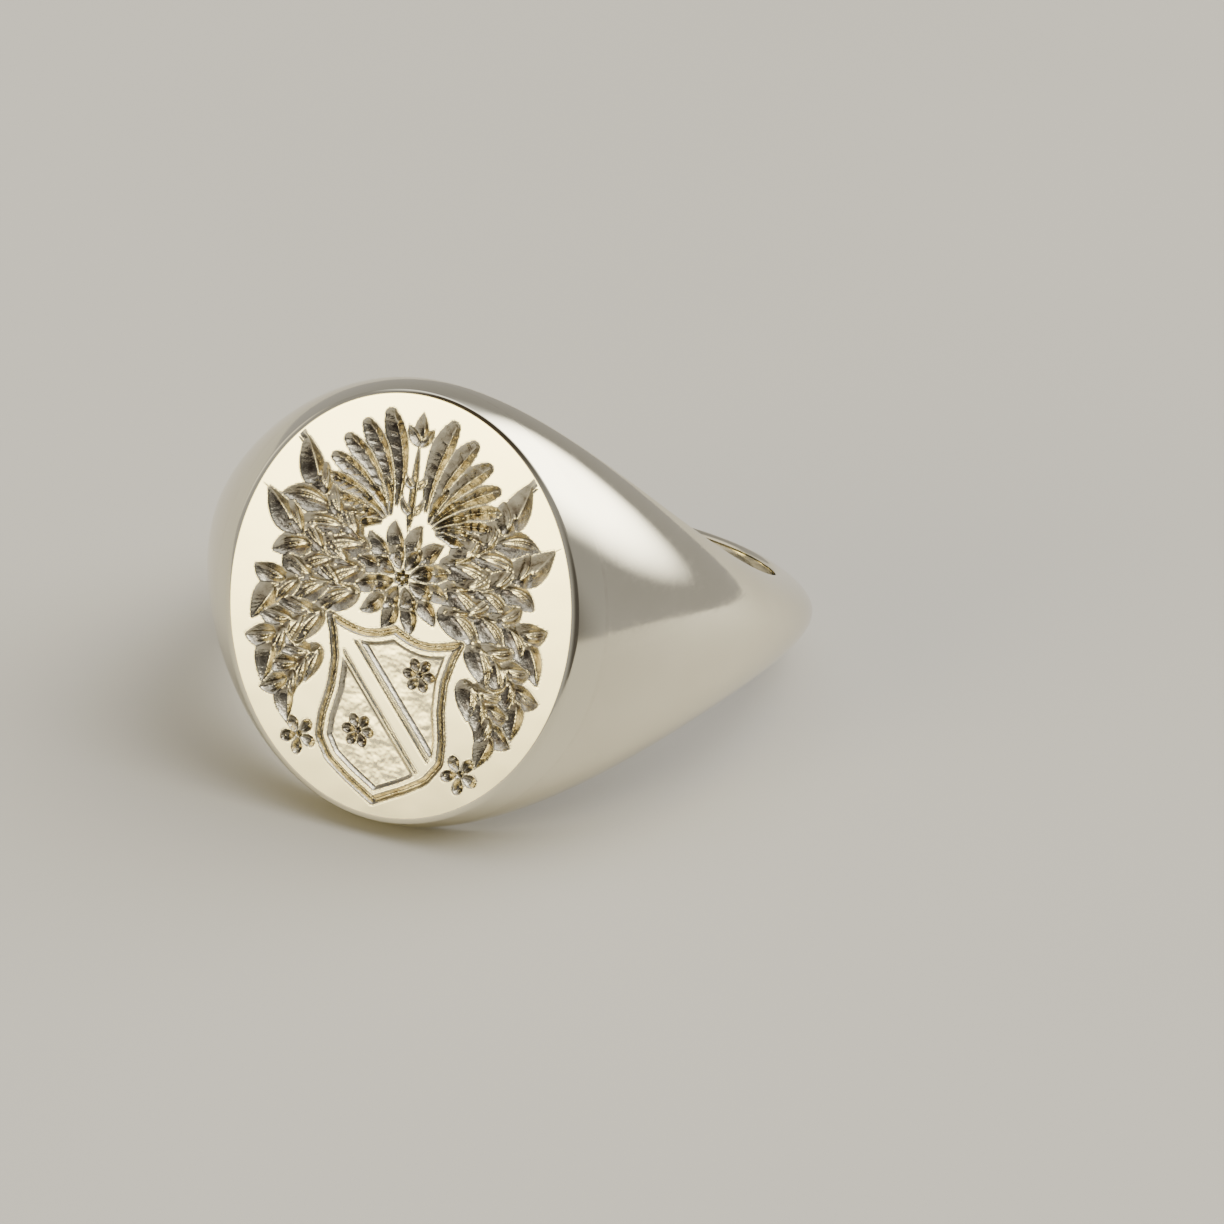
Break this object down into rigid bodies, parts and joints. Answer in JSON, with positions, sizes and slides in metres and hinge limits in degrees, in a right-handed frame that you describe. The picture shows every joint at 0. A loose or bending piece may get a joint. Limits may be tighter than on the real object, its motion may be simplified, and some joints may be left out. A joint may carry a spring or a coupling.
{
  "type": "signet ring",
  "caption": "Polished silver signet ring with an oval engraved seal, shoulders that taper into a narrow D-section shank, lying on its side",
  "frame": {"origin": "Centre of the bounding box in X and Y, on the surface that the ring lies on (Z = 0)", "axes": "The ring lies on its side as in the picture. The seal faces -Y and leans back 20 degrees, so its outward normal is (0, -0.940, 0.343). The finger's axis is (0, 0.343, 0.940). +X is the wearer's way across the seal, and the ring is mirror-symmetric in X apart from the charges on the shield. +Y is the longest extent, and +Z, up, the shortest"},
  "size_m": [0.0216, 0.022, 0.0147],
  "materials": {
    "polished_silver": "mirror-polished warm white silver with faint wear",
    "engraved_silver": "polished silver face with bright hand-engraved cuts, tarnished in their depths",
    "hard_solder": "silver solder filed and polished flush"
  },
  "bodies": {
    "root": {"head": "polished_silver", "shank": "polished_silver", "seal_plate": "engraved_silver", "seal_solder": "hard_solder", "shank_solder_right": "hard_solder", "shank_solder_left": "hard_solder"}
  },
  "joints": []
}
